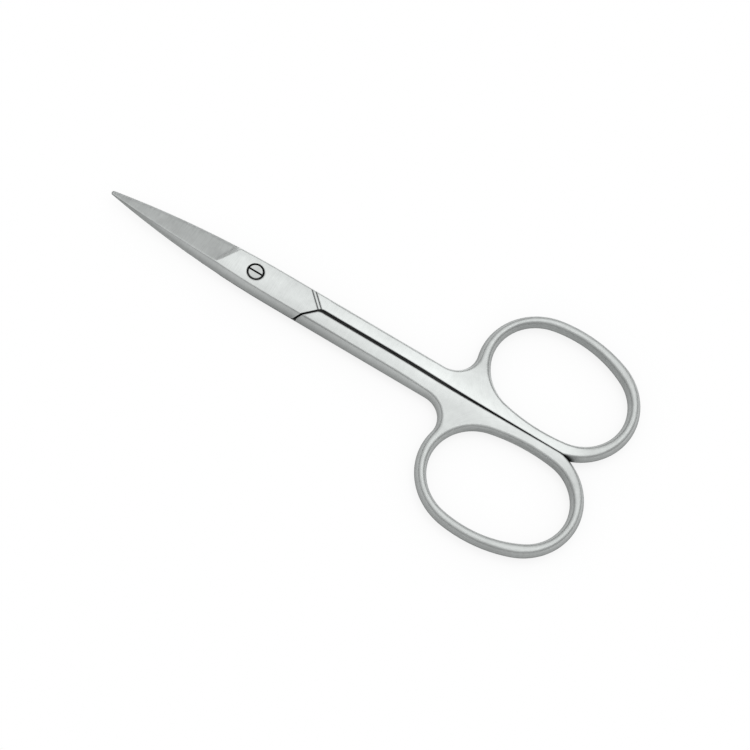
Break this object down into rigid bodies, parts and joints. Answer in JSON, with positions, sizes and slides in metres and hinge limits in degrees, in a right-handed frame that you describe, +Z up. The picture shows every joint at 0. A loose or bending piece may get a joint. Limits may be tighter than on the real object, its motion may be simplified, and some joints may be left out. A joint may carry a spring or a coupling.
{
  "type": "cuticle scissors",
  "caption": "Slim pointed cuticle scissors in satin steel, with ground blades, straight shanks and oval finger rings, turning on a slotted pivot screw.",
  "frame": {"origin": "middle of the closed scissors' length and width, on the surface they lie on", "axes": "+X along the length towards the finger rings, +Y across towards the front half's ring, +Z up from the surface towards the screw head"},
  "size_m": [0.09, 0.0418, 0.0032],
  "materials": {
    "satin_steel": "satin, brushed across the faces",
    "screw_steel": "turned, finely brushed with the halves"
  },
  "bodies": {
    "rear": {"rear_half": "satin_steel", "pivot_screw": "screw_steel"},
    "front": {"front_half": "satin_steel"}
  },
  "joints": [
    {"name": "blade_pivot", "type": "hinge", "parent": "rear", "child": "front", "pos_m": [-0.0189, 0, 0.0016], "axis": [0, 0, 1], "range_deg": [0, 140]}
  ]
}
